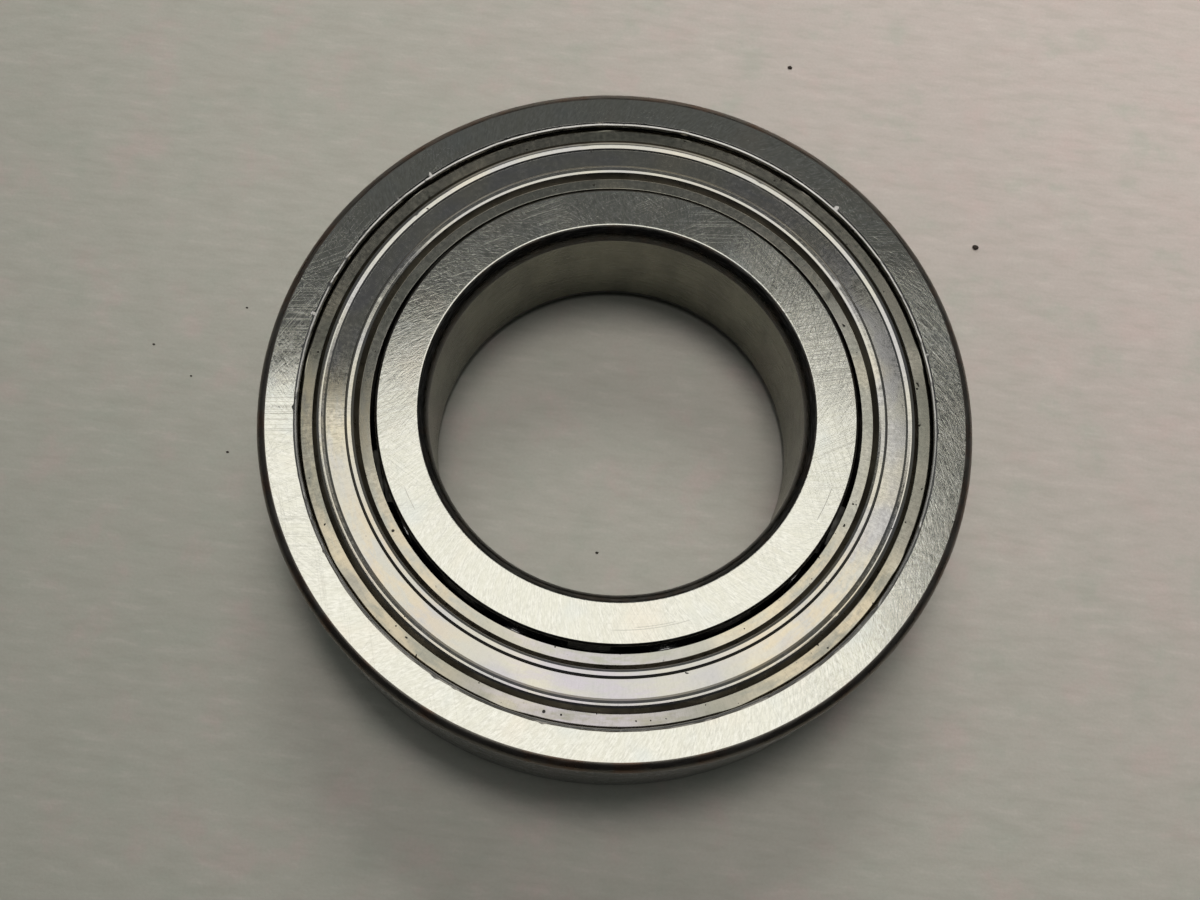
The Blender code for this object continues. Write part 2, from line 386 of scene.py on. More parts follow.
    def finish(self, colour, roughness, metallic, normal):
        """Connect the finish and return the material."""
        self.put(self.shader.inputs["Base Color"], colour)
        self.put(self.shader.inputs["Roughness"], roughness)
        self.put(self.shader.inputs["Metallic"], metallic)
        self.put(self.shader.inputs["Normal"], normal)
        return self.material


# Scratch directions in radians, widths in millimetres and the share of the surface left clear.
SCRATCHES = (
    (0.50, 0.05, 0.68),
    (1.05, 0.045, 0.68),
    (1.45, 0.06, 0.69),
    (2.10, 0.045, 0.68),
    (2.60, 0.05, 0.69),
    (-0.30, 0.06, 0.70),
)


# Long scratches round the inner ring's face: radius, width, first and last angle.
FACE_ARCS = (
    (26.85 * MM, 0.07 * MM, 274, 295),
    (26.60 * MM, 0.05 * MM, 280, 291),
    (26.85 * MM, 0.06 * MM, 112, 123),
    (26.80 * MM, 0.06 * MM, 209, 216),
    (26.85 * MM, 0.06 * MM, 335, 345),
)


# Short scuffs: direction in radians, width in millimetres, share left clear and shift.
SCUFFS = (
    (2.35, 0.045, 0.64, 2.9),
    (1.30, 0.05, 0.65, 4.1),
    (2.90, 0.045, 0.65, 5.3),
)


def ground_face(name, twist, roughness, depth, wave_depth, scuffed, arcs=()):
    """A ring face ground flat: fine slanted grinding marks, a few crossed scratches and faint tints."""
    graph = Graph(name)
    fine = graph.noise(graph.polar(150, 1500, twist=twist), detail=3.0, roughness=0.62)
    cross = graph.noise(graph.polar(120, 900, twist=-2.5 * twist, shift=9.0), detail=2.0)
    broad = graph.noise(graph.polar(45, 260, twist=0.6 * twist, shift=4.0), detail=2.0)
    marks = graph.math("ADD", graph.math("MULTIPLY", fine, 0.6), graph.math("MULTIPLY", cross, 0.4))
    cloud = graph.noise(graph.place, 110.0, 3.0)
    scratches = None
    for index, (angle, width, share) in enumerate(SCRATCHES):
        layer = graph.lines(angle, width * MM, 30 * MM, share, 0.37 * index)
        patch = graph.noise(graph.place, 95.0, 1.0, shift=0.2 * index)
        layer = graph.math("MULTIPLY", layer, graph.level(patch, 0.40, 0.64, 0.0, 0.38))
        scratches = layer if scratches is None else graph.math("MAXIMUM", scratches, layer)
    scuff = graph.lines(0.25, 0.05 * MM, 26 * MM, 0.63, 1.7)
    for angle, width, share, shift in SCUFFS:
        layer = graph.lines(angle, width * MM, 22 * MM, share, shift)
        scuff = graph.math("MAXIMUM", scuff, layer)
    scuff = graph.math("MULTIPLY", scuff, graph.sector(*scuffed))
    scratches = graph.math("MAXIMUM", scratches, scuff)
    for arc in arcs:
        scratches = graph.math("MAXIMUM", scratches, graph.arc(*arc))
    colour = graph.mix(graph.level(fine, 0.28, 0.72), (0.50, 0.49, 0.43, 1), (0.66, 0.65, 0.59, 1))
    colour = graph.mix(graph.level(broad, 0.35, 0.7, 0.0, 0.5), colour, (0.56, 0.55, 0.47, 1))
    warm = graph.level(cloud, 0.52, 0.72, 0.0, 0.4)
    colour = graph.mix(warm, colour, (0.64, 0.57, 0.47, 1))
    cool = graph.level(cloud, 0.30, 0.46, 0.4, 0.0)
    colour = graph.mix(cool, colour, (0.52, 0.55, 0.54, 1))
    colour = graph.mix(graph.math("MULTIPLY", scratches, 0.5), colour, (0.36, 0.35, 0.31, 1))
    rough = graph.level(marks, 0.3, 0.7, roughness - 0.04, roughness + 0.06)
    rough = graph.math("ADD", rough, graph.math("MULTIPLY", scratches, 0.07))
    wavy = graph.polar(52, 900, twist=3 * twist, shift=6.0)
    waves = graph.noise(wavy, detail=4.0, roughness=0.62, distortion=0.8)
    normal = graph.bump(waves, wave_depth)
    normal = graph.bump(marks, depth, normal)
    normal = graph.bump(scratches, 0.003 * MM, normal)
    return graph.finish(colour, rough, 1.0, normal)


def turned_corner(name, dark, brown):
    """An unground corner: dark scale from hardening, with brown tints and worn spots."""
    graph = Graph(name)
    rings = graph.noise(graph.polar(14, 5000, 5000), detail=2.0)
    patches = graph.noise(graph.polar(9, 260, 260), detail=4.0, roughness=0.6)
    colour = graph.mix(graph.level(patches, 0.46, 0.66), dark, brown)
    colour = graph.mix(graph.level(rings, 0.45, 0.8, 0.0, 0.25), colour, (0.30, 0.30, 0.29, 1))
    rough = graph.level(rings, 0.3, 0.7, 0.22, 0.38)
    return graph.finish(colour, rough, 0.95, graph.bump(rings, 0.004 * MM))


def ground_wall(name, colour, roughness, marks_depth):
    """A ground cylinder: fine rings round the axis, light handling marks."""
    graph = Graph(name)
    rings = graph.noise(graph.polar(5, 2500, 7000), detail=3.0, roughness=0.7)
    cloud = graph.noise(graph.polar(7, 120, 120), detail=3.0)
    dim = tuple(0.72 * part for part in colour[:3]) + (1,)
    shade = graph.mix(graph.level(cloud, 0.35, 0.68), colour, dim)
    shade = graph.mix(graph.level(rings, 0.3, 0.7, 0.25, 0.0), shade, (0.28, 0.28, 0.27, 1))
    marks = graph.level(graph.noise(graph.polar(60, 400, 900), detail=1.0), 0.66, 0.72)
    rough = graph.level(rings, 0.3, 0.7, roughness - 0.05, roughness + 0.08)
    rough = graph.math("ADD", rough, graph.math("MULTIPLY", marks, 0.1))
    return graph.finish(shade, rough, 1.0, graph.bump(rings, marks_depth))


def polished(name, colour, roughness):
    """A polished rolling surface with faint rings."""
    graph = Graph(name)
    rings = graph.noise(graph.polar(4, 5000, 9000), detail=2.0)
    shade = graph.mix(graph.level(rings, 0.3, 0.7, 0.0, 0.25), colour, (0.45, 0.44, 0.43, 1))
    rough = graph.level(rings, 0.3, 0.7, roughness, roughness + 0.05)
    return graph.finish(shade, rough, 1.0, graph.bump(rings, 0.0006 * MM))


# Heat and oil tints on the shield: angle, spread, colour and strength.
TINTS = (
    (225, 26, (0.56, 0.47, 0.33, 1), 0.6),
    (318, 24, (0.58, 0.49, 0.34, 1), 0.6),
    (270, 24, (0.46, 0.42, 0.47, 1), 0.6),
    (190, 16, (0.55, 0.48, 0.33, 1), 0.4),
    (60, 30, (0.52, 0.48, 0.40, 1), 0.4),
)
# Dark spots on the shield: angle, radius and size in millimetres.
SPOTS = (
    (263.4, 36.75, 0.24),
    (176, 36.45, 0.16),
    (217, 30.1, 0.22),
    (282, 36.9, 0.10),
    (251, 36.2, 0.10),
    (233, 35.0, 0.09),
    (305, 30.0, 0.10),
    (101, 35.6, 0.12),
)


def sheet_steel(name, base, tint, roughness, specks, grain_depth):
    """Pressed sheet: fine strokes along the pressing, cloudy tints and small dark specks."""
    graph = Graph(name)
    strokes = graph.noise(graph.polar(70, 2200, 400, twist=4.0), detail=3.0, roughness=0.6)
    radial = graph.noise(graph.polar(300, 500, shift=5.0), detail=2.0)
    cloud = graph.noise(graph.polar(5, 260), detail=3.0)
    shade = graph.mix(graph.level(cloud, 0.38, 0.66), base, tint)
    warm = graph.level(graph.noise(graph.polar(3.2, 120, shift=3.0), detail=2.0), 0.5, 0.7, 0.0, 0.5)
    shade = graph.mix(warm, shade, (0.62, 0.56, 0.43, 1))
    broken = graph.noise(graph.polar(9, 900, shift=1.0), detail=4.0, roughness=0.65)
    broken = graph.level(broken, 0.36, 0.62)
    for degrees, spread, stain, strength in TINTS:
        share = graph.math("MULTIPLY", graph.sector(degrees, spread), broken)
        shade = graph.mix(graph.math("MULTIPLY", share, strength), shade, stain)
    spots = graph.noise(graph.place, 1500.0, 1.0)
    spots = graph.level(spots, specks, specks + 0.03)
    for degrees, radius, size in SPOTS:
        spots = graph.math("MAXIMUM", spots, graph.spot(degrees, radius * MM, size * MM))
    shade = graph.mix(graph.math("MULTIPLY", spots, 0.9), shade, (0.03, 0.028, 0.025, 1))
    grain = graph.math("ADD", graph.math("MULTIPLY", strokes, 0.6), graph.math("MULTIPLY", radial, 0.4))
    rough = graph.level(grain, 0.3, 0.7, roughness - 0.05, roughness + 0.09)
    rough = graph.math("ADD", rough, graph.math("MULTIPLY", spots, 0.3))
    return graph.finish(shade, rough, 1.0, graph.bump(grain, grain_depth))


def plain_metal(name, colour, roughness, scale, depth):
    """A hidden metal part: cloudy colour, fine grain, and oily dark patches."""
    graph = Graph(name)
    grain = graph.noise(graph.place, scale, 3.0, 0.65)
    cloud = graph.noise(graph.place, scale / 9, 3.0)
    dim = tuple(0.55 * part for part in colour[:3]) + (1,)
    shade = graph.mix(graph.level(cloud, 0.4, 0.65), colour, dim)
    rough = graph.level(grain, 0.3, 0.7, roughness - 0.06, roughness + 0.1)
    return graph.finish(shade, rough, 1.0, graph.bump(grain, depth))


# ---------------------------------------------------------------- rings

def smooth_noise(segments, waves):
    """Random ups and downs round the ring, from -1 to 1, that meet at the end."""
    knots = random_numbers.uniform(-1, 1, waves)
    places = np.arange(segments) * waves / segments
    low = np.floor(places).astype(int)
    share = places - low
    share = share * share * (3 - 2 * share)
    return knots[low % waves] * (1 - share) + knots[(low + 1) % waves] * share


def bell(offset, width):
    """A smooth bump, 1 at no offset and near 0 beyond the width."""
    return np.exp(-((offset / width) ** 2))


def angle_gap(angle, place):
    """The signed angle from a place, the short way round."""
    return (angle - place + math.pi) % TURN - math.pi


# The worst nicks in the mouth's edge: angle and half width in degrees, depth in millimetres.
NICKS = (
    (8.0, 0.25, 0.36),
    (17.0, 0.45, 0.46),
    (27.0, 0.25, 0.36),
    (50.5, 0.65, 0.52),
    (118.0, 0.40, 0.20),
    (134.0, 0.30, 0.38),
    (142.0, 0.22, 0.24),
    (151.0, 0.30, 0.42),
    (157.0, 0.20, 0.26),
    (163.0, 0.30, 0.40),
    (169.5, 0.75, 0.52),
    (176.0, 0.22, 0.30),
)


LIP_REACH = 0.12 * MM
LIP_BAND = 0.08 * MM
LEDGE_BAND = 0.35 * MM
EDGE_REACH = 0.05 * MM
# Random bites out of the ledge and out of the lip: count, width in degrees, depth in millimetres.
LEDGE_BITES = (46, (0.25, 1.1), (0.02, 0.09))
LIP_BITES = (26, (0.2, 0.5), (0.04, 0.16))


def random_bites(angle, count, widths, depths):
    """The depth round the ring of one bite after another, each at a random place."""
    for _ in range(count):
        place = random_numbers.uniform(0, TURN)
        width = math.radians(random_numbers.uniform(*widths))
        deep = random_numbers.uniform(*depths) * MM
        yield bell(angle_gap(angle, place), width) * deep


def mouth_wear(angle, radius, height):
    """Ragged edges and small nicks round the shield mouths, with the worst on the front face."""
    segments = len(angle)
    for side in (1, -1):
        lip = (radius < MOUTH_RADIUS + LIP_REACH) & (side * height > HALF_WIDTH - LIP_BAND)
        ledge = (radius < MOUTH_RADIUS) & (side * height > HALF_WIDTH - LEDGE_BAND) & ~lip
        ragged = smooth_noise(segments, 300) * 0.018 + smooth_noise(segments, 110) * 0.02
        radius = radius + np.where(lip, ragged[:, None] * MM, 0.0)
        wobble = smooth_noise(segments, 200) * 0.012 + smooth_noise(segments, 60) * 0.015
        radius = radius + np.where(ledge, wobble[:, None] * MM, 0.0)
        for bite in random_bites(angle, *LEDGE_BITES):
            radius = radius + np.where(ledge, bite, 0.0)
            height = height - side * np.where(ledge, bite * 0.6, 0.0)
        for bite in random_bites(angle, *LIP_BITES):
            radius = radius + np.where(lip, bite, 0.0)
            edge = lip & (radius < MOUTH_RADIUS + EDGE_REACH)
            height = height - side * np.where(edge, bite * 0.5, 0.0)
        if side > 0:
            for place, width, deep in NICKS:
                gap = np.abs(angle_gap(angle, math.radians(place))) / math.radians(width)
                radius = radius + np.where(lip, np.clip(1 - gap, 0, 1) * deep * MM, 0.0)
    return radius, height


FACE, CORNER, WALL, GROOVE, RACE = range(5)


def make_outer_ring(materials):
    top = HALF_WIDTH
    centre = (OUTER_RADIUS - OD_CORNER, top - OD_CORNER)
    corner = elliptic(centre, OD_CORNER, OD_CORNER, 0.0, math.pi / 2, OD_CORNER_STEPS, CORNER)
    corner[-1] = (*corner[-1][:3], FACE)
    mouth = [
        (MOUTH_RADIUS, top, FACE_EDGE, GROOVE),
        (LEDGE_OUTER, top - LEDGE_DEPTH, 0.03 * MM, GROOVE),
        (LEDGE_INNER, top - LEDGE_DEPTH - LEDGE_DROP, 0.13 * MM, GROOVE),
        (LEDGE_INNER, top - WALL_DEPTH, 0.08 * MM, GROOVE),
        (LEDGE_INNER + 0.1 * MM, top - GROOVE_TOP, 0.05 * MM, GROOVE),
        (GROOVE_RADIUS, top - GROOVE_TOP, 0.1 * MM, GROOVE),
        (GROOVE_RADIUS, top - GROOVE_FLOOR, 0.1 * MM, GROOVE),
        (OUTER_SHOULDER, top - GROOVE_FLOOR, 0.15 * MM, WALL),
    ]
    race = raceway(PITCH_RADIUS + BALL_RADIUS + RACE_CLEARANCE, OUTER_SHOULDER, RACE)
    race[-1] = (*race[-1][:3], WALL)
    upper = corner + mouth
    outline = rounded(upper + race + mirrored(upper, WALL))
    return lathe("outer_ring_finished", outline, RING_SEGMENTS, materials, mouth_wear)


def make_inner_ring(materials):
    top = HALF_WIDTH
    centre = (BORE_RADIUS + BORE_CORNER_RADIAL, top - BORE_CORNER_AXIAL)
    corner = elliptic(centre, BORE_CORNER_RADIAL, BORE_CORNER_AXIAL, math.pi, math.pi / 2,
                     BORE_CORNER_STEPS, CORNER)
    corner[-1] = (*corner[-1][:3], FACE)
    corner[-2] = (*corner[-2][:3], FACE)
    upper = corner + [
        (INNER_SHOULDER - INNER_BEVEL, top, 0.06 * MM, CORNER),
        (INNER_SHOULDER, top - INNER_BEVEL, 0.06 * MM, GROOVE),
    ]
    race = raceway(PITCH_RADIUS - BALL_RADIUS - RACE_CLEARANCE, INNER_SHOULDER, RACE)
    race[-1] = (*race[-1][:3], GROOVE)
    outline = rounded(upper + race + mirrored(upper, WALL))
    return lathe("inner_ring_finished", outline, RING_SEGMENTS, materials)


# ---------------------------------------------------------------- shields

LIP, BEAD, RIM, UNDER, CREASE = range(5)

# The outer surface from the lip to the edge in the groove: radius, depth, rounding and the
# finish of the next side.
PRESSING = (
    (29.30, 1.15, 0.08, LIP),
    (30.62, 1.15, 0.10, CREASE),
    (31.20, 0.49, 0.12, BEAD),
    (31.48, 0.41, 0.15, BEAD),
    (31.93, 0.405, 0.15, BEAD),
    (32.13, 0.52, 0.05, CREASE),
    (32.24, 0.62, 0.03, BEAD),
    (34.42, 0.62, 0.03, BEAD),
    (34.66, 0.50, 0.04, BEAD),
    (34.98, 0.425, 0.07, BEAD),
    (35.10, 0.412, 0.05, BEAD),
    (35.22, 0.425, 0.07, BEAD),
    (35.48, 0.50, 0.10, CREASE),
    (36.05, 1.05, 0.12, RIM),
    (37.50, 1.03, 0.16, RIM),
    (37.66, 1.45, 0.10, RIM),
    (38.10, 1.50, 0.10, UNDER),
)
# Places of the crimps, in degrees.
CRIMP_ANGLES = (17, 57, 98, 138, 178, 217, 257, 297, 337)
CRIMP_WIDTH = math.radians(3.0)
SHIELD_LEAN = -0.10
SHIELD_LEAN_PLACE = math.radians(180)
SHIELD_LEAN_WIDTH = math.radians(27)
EDGE_LEAN = -0.17
EDGE_LEAN_PLACE = math.radians(190)
EDGE_LEAN_WIDTH = math.radians(30)
ANNULUS_MIDDLE = 33.3 * MM
ANNULUS_SPREAD = 1.6 * MM
# The lip and the rim, which lean together: middle radius and spread.
EDGE_BANDS = ((29.95 * MM, 0.9 * MM), (36.75 * MM, 0.7 * MM))
CRIMP_START = 37.36 * MM
CRIMP_RUN = 0.2 * MM
CRIMP_DEEPEST = 1.6 * MM
CRIMP_OUT = 0.08 * MM
CRIMP_UP = 0.12 * MM
# Small dents: angle in degrees, radius, depth and size in millimetres.
DENTS = (
    (103, 35.1, 0.05, 0.5),
    (107, 35.0, 0.04, 0.35),
    (141, 35.2, 0.03, 0.4),
    (162, 31.3, 0.02, 0.25),
    (66, 35.2, 0.03, 0.45),
    (37, 31.0, 0.04, 0.5),
    (238, 35.2, 0.02, 0.4),
    (288, 31.7, 0.02, 0.4),
    (321, 35.1, 0.03, 0.35),
    (12, 31.7, 0.03, 0.35),
)


def offset_line(points, distance):
    """A line beside an open line of (radius, height) points, below it by the sheet's thickness."""
    moved = []
    for index, point in enumerate(points):
        here = Vector(point)
        sides = []
        if index > 0:
            sides.append(here - Vector(points[index - 1]))
        if index < len(points) - 1:
            sides.append(Vector(points[index + 1]) - here)
        normals = [Vector((side.y, -side.x)).normalized() for side in sides]
        total = sum(normals, Vector((0.0, 0.0))).normalized()
        scale = distance / max(0.5, total.dot(normals[0]))
        moved.append(here + total * scale)
    return moved


def make_shield(name, materials, turn_over, dents):
    top_line = [(r * MM, HALF_WIDTH - depth * MM) for r, depth, _, _ in PRESSING]
    upper = [(*spot, row[2] * MM, row[3]) for spot, row in zip(top_line, PRESSING)]
    under_line = offset_line(top_line, SHEET)
    lower = [(spot.x, spot.y, row[2] * MM, UNDER) for spot, row in zip(under_line, PRESSING)]
    outline = rounded(upper + list(reversed(lower)))
    tilt = smooth_noise(SHIELD_SEGMENTS, 7) * 0.012 + smooth_noise(SHIELD_SEGMENTS, 19) * 0.006

    def press_marks(angle, radius, height):
        annulus = bell(radius - ANNULUS_MIDDLE, ANNULUS_SPREAD)
        shield_gap = angle_gap(angle, SHIELD_LEAN_PLACE)
        lean = tilt[:, None] + SHIELD_LEAN * bell(shield_gap, SHIELD_LEAN_WIDTH)
        height = height + lean * (radius - ANNULUS_MIDDLE) * annulus
        edge_gap = angle_gap(angle, EDGE_LEAN_PLACE)
        edge_lean = tilt[:, None] + EDGE_LEAN * bell(edge_gap, EDGE_LEAN_WIDTH)
        for middle, width in EDGE_BANDS:
            height = height + edge_lean * (radius - middle) * bell(radius - middle, width)
        for crimp in CRIMP_ANGLES:
            share = bell(angle_gap(angle, math.radians(crimp)), CRIMP_WIDTH)
            edge = np.clip((radius - CRIMP_START) / CRIMP_RUN, 0, 1)
            edge = edge * (height > HALF_WIDTH - CRIMP_DEEPEST)
            radius = radius + share * edge * CRIMP_OUT
            height = height + share * edge * CRIMP_UP
        for place, reach, depth, size in dents:
            across = angle_gap(angle, math.radians(place)) * radius
            dent = bell(across, size * MM) * bell(radius - reach * MM, size * MM)
            height = height - dent * depth * MM
        return radius, height

    return lathe(name, outline, SHIELD_SEGMENTS, materials, press_marks, turn_over)


# ---------------------------------------------------------------- cage, rivets and balls

def pocket_point(ball, sample, radius):
    """A point on the ball side of the ribbon, on the pocket of one ball."""
    section = math.sqrt(POCKET_RADIUS ** 2 - (radius - PITCH_RADIUS) ** 2)
    end_angle = math.acos(CAGE_WEB / section)
    angle = end_angle * (2 * sample / POCKET_COLUMNS - 1)
    height = section * math.cos(angle)
    flat_square = POCKET_RADIUS ** 2 - height ** 2
    cosine = (radius ** 2 + PITCH_RADIUS ** 2 - flat_square) / (2 * radius * PITCH_RADIUS)
    away = math.copysign(math.acos(min(1.0, cosine)), angle)
    turn = ball * BALL_STEP + away
    return (radius * math.cos(turn), radius * math.sin(turn), height)


def cage_half(name, material, turn_over):
    """Half of the ribbon cage, with a spherical pocket pressed for each ball."""
    columns = BALL_COUNT * (POCKET_COLUMNS + 1)
    points = []
    for column in range(columns):
        ball, sample = divmod(column, POCKET_COLUMNS + 1)
        for row in range(CAGE_ROWS + 1):
            radius = CAGE_OUTER + (CAGE_INNER - CAGE_OUTER) * row / CAGE_ROWS
            points.append(pocket_point(ball, sample, radius))
    faces = []
    width = CAGE_ROWS + 1
    for column in range(columns):
        ahead = (column + 1) % columns
        for row in range(CAGE_ROWS):
            here = column * width + row
            over = ahead * width + row
            faces.append((here, here + 1, over + 1, over))
    mesh = bpy.data.meshes.new(name)
    mesh.from_pydata(points, [], faces)
    piece = link_mesh(name, mesh, material)
    if turn_over:
        mesh.transform(Matrix.Rotation(math.pi, 4, "X"))
    sheet = piece.modifiers.new("sheet", "SOLIDIFY")
    sheet.thickness = CAGE_SHEET
    # The sheet grows away from the balls.
    sheet.offset = -1.0
    sheet.use_even_offset = True
    edge = piece.modifiers.new("edge", "BEVEL")
    edge.width = CAGE_EDGE
    edge.segments = 2
    edge.limit_method = "ANGLE"
    edge.angle_limit = math.radians(50)
    normals = piece.modifiers.new("normals", "WEIGHTED_NORMAL")
    normals.weight = 60
    return piece


def link_mesh(name, mesh, material):
    mesh.materials.append(material)
    mesh.shade_smooth()
    piece = bpy.data.objects.new(name, mesh)
    bpy.context.scene.collection.objects.link(piece)
    return piece


def make_rivet(name, place, material):
    """A rivet with a domed head at each end, turned about its own axis."""
    steps = RIVET_SIDES
    head = []
    for step in range(RIVET_DOME_STEPS + 1):
        angle = math.pi / 2 * (1 - step / RIVET_DOME_STEPS)
        height = RIVET_SEAT + RIVET_HEAD_HEIGHT * math.sin(angle)
        head.append((RIVET_HEAD_RADIUS * math.cos(angle), height))
    head.append((RIVET_SHANK, RIVET_SEAT))
    section = head[1:] + [(r, -h) for r, h in reversed(head[1:])]
    points = [(0, 0, head[0][1])]
    for radius, height in section:
        for step in range(steps):
            angle = TURN * step / steps
            points.append((radius * math.cos(angle), radius * math.sin(angle), height))
    points.append((0, 0, -head[0][1]))
    last = len(points) - 1
    faces = []
    for step in range(steps):
        ahead = (step + 1) % steps
        faces.append((0, 1 + step, 1 + ahead))
        for row in range(len(section) - 1):
            start = 1 + row * steps
            faces.append((start + step, start + steps + step, start + steps + ahead, start + ahead))
        start = 1 + (len(section) - 1) * steps
        faces.append((start + step, last, start + ahead))
    moved = [(x + place.x, y + place.y, z + place.z) for x, y, z in points]
    mesh = bpy.data.meshes.new(name)
    mesh.from_pydata(moved, [], faces)
    return link_mesh(name, mesh, material)


def make_ball(name, centre, material):
    """A ball with evenly spread faces."""
    bm = bmesh.new()
    bmesh.ops.create_icosphere(bm, subdivisions=5, radius=BALL_RADIUS, matrix=Matrix.Translation(centre))
    mesh = bpy.data.meshes.new(name)
    bm.to_mesh(mesh)
    bm.free()
    return link_mesh(name, mesh, material)


# ---------------------------------------------------------------- assembly

def settle(piece, body, node):
    """Put a finished piece in its CAD node's place."""
    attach(piece, body)
    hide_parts(node)


def make_bearing():
    corner = turned_corner("outer_corner", (0.125, 0.115, 0.10, 1), (0.14, 0.095, 0.07, 1))
    groove = ground_wall("groove_wall", (0.52, 0.505, 0.475, 1), 0.20, 0.0010 * MM)
    race = polished("raceway", (0.66, 0.65, 0.63, 1), 0.08)
    outer_face = ground_face("outer_face", 14.0, 0.07, 0.0035 * MM, 0.008 * MM, (356, 38))
    outer_wall = ground_wall("outer_wall", (0.165, 0.163, 0.164, 1), 0.22, 0.0012 * MM)
    ring = make_outer_ring([outer_face, corner, outer_wall, groove, race])
    settle(ring, "outer_ring", "outer_ring")

    inner_face = ground_face("inner_face", -14.0, 0.10, 0.005 * MM, 0.009 * MM, (35, 34), FACE_ARCS)
    bore = ground_wall("bore_wall", (0.245, 0.245, 0.185, 1), 0.28, 0.0016 * MM)
    corner = turned_corner("bore_corner", (0.042, 0.041, 0.037, 1), (0.058, 0.047, 0.038, 1))
    ring = make_inner_ring([inner_face, corner, bore, groove, race])
    settle(ring, "inner_ring", "inner_ring")

    lip = sheet_steel("shield_lip", (0.355, 0.35, 0.30, 1), (0.42, 0.405, 0.35, 1), 0.15, 0.74, 0.003 * MM)
    bead = sheet_steel("shield_bead", (0.47, 0.455, 0.40, 1), (0.43, 0.42, 0.41, 1), 0.11, 0.79, 0.0025 * MM)
    rim = sheet_steel("shield_rim", (0.265, 0.26, 0.215, 1), (0.32, 0.30, 0.25, 1), 0.17, 0.73, 0.003 * MM)
    under = plain_metal("shield_under", (0.34, 0.33, 0.30, 1), 0.35, 900.0, 0.003 * MM)
    crease = plain_metal("shield_crease", (0.33, 0.30, 0.24, 1), 0.32, 1400.0, 0.003 * MM)
    sheets = [lip, bead, rim, under, crease]
    shield = make_shield("shield_front_finished", sheets, False, DENTS)
    settle(shield, "outer_ring", "shield_front")
    shield = make_shield("shield_back_finished", sheets, True, DENTS[3:7])
    settle(shield, "outer_ring", "shield_back")

    # The cage and rivet colours are partly painted shade: darkened so that the gap beside the shield lip
    # stays dark.
    cage_steel = plain_metal("cage_steel", (0.22, 0.215, 0.195, 1), 0.38, 700.0, 0.004 * MM)
    settle(cage_half("cage_front_finished", cage_steel, False), "cage", "cage_half_front")
    settle(cage_half("cage_back_finished", cage_steel, True), "cage", "cage_half_back")
    rivet_steel = plain_metal("rivet_steel", (0.30, 0.29, 0.27, 1), 0.32, 1200.0, 0.003 * MM)
    ball_steel = polished("ball_steel", (0.80, 0.80, 0.81, 1), 0.04)
    for index in range(1, BALL_COUNT + 1):
        node = f"rivet_{index:02d}"
        rivet = make_rivet(node + "_finished", mid(node), rivet_steel)
        settle(rivet, "cage", node)
        node = f"ball_{index:02d}"
        ball = make_ball(node + "_finished", mid(node), ball_steel)
        settle(ball, node, node)


# ---------------------------------------------------------------- stage, light and camera

FLOOR_SIZE = 3.0


def make_floor():
    """A pale work top with a faint grain, and painted light and shade: greener and a little darker towards
    -X -Y, pinker and a little paler towards +X +Y.
    """
    graph = Graph("floor")
    grain = graph.noise(graph.place, 2600.0, 3.0, 0.6)
    cloud = graph.noise(graph.place, 14.0, 4.0, 0.6)
    stains = graph.level(graph.noise(graph.place, 70.0, 3.0), 0.60, 0.78, 0.0, 0.12)
    # Painted light and shade: the top runs from a greenish shade towards -X -Y to a pinker, paler lit tone
    # towards +X +Y.
    painted_light_axis = graph.vector("DOT_PRODUCT", graph.place, (1, 1, 0), "Value")
    painted_light_share = graph.level(painted_light_axis, -0.01, 0.11)
    colour = graph.mix(painted_light_share, (0.400, 0.418, 0.358, 1), (0.452, 0.424, 0.384, 1))
    colour = graph.mix(graph.level(cloud, 0.3, 0.7, 0.0, 0.22), colour, (0.56, 0.55, 0.49, 1))
    mottle = graph.noise(graph.place, 120.0, 4.0, 0.65)
    colour = graph.mix(graph.level(mottle, 0.50, 0.72, 0.0, 0.55), colour, (0.49, 0.42, 0.385, 1))
    colour = graph.mix(graph.level(mottle, 0.30, 0.48, 0.50, 0.0), colour, (0.37, 0.41, 0.345, 1))
    wide = graph.vector("MULTIPLY", graph.place, (180, 700, 1))
    streaks = graph.noise(wide, 1.0, 3.0, 0.6)
    colour = graph.mix(graph.level(streaks, 0.45, 0.70, 0.0, 0.24), colour, (0.30, 0.30, 0.25, 1))
    colour = graph.mix(graph.level(streaks, 0.28, 0.46, 0.20, 0.0), colour, (0.62, 0.60, 0.54, 1))
    colour = graph.mix(graph.level(grain, 0.3, 0.75, 0.0, 0.16), colour, (0.34, 0.31, 0.26, 1))
    colour = graph.mix(stains, colour, (0.40, 0.34, 0.28, 1))
    rough = graph.level(grain, 0.3, 0.7, 0.55, 0.70)
    material = graph.finish(colour, rough, 0.0, graph.bump(grain, 0.02 * MM))
    mesh = bpy.data.meshes.new("floor")
    half = FLOOR_SIZE / 2
    corners = [(-half, -half, 0), (half, -half, 0), (half, half, 0), (-half, half, 0)]
    mesh.from_pydata(corners, [], [(0, 1, 2, 3)])
    mesh.materials.append(material)
    floor = bpy.data.objects.new("floor", mesh)
    floor.location.z = -HALF_WIDTH
    bpy.context.scene.collection.objects.link(floor)


# Specks on the work top: place and size in millimetres.
CRUMBS = (
    (47.2, 36.4, 0.34),
    (19.3, 61.8, 0.26),
    (-0.3, -13.5, 0.16),
    (-51.0, 14.4, 0.12),
    (-62.2, 7.6, 0.13),
    (-56.4, 3.8, 0.12),
    (-49.6, -6.0, 0.14),
)


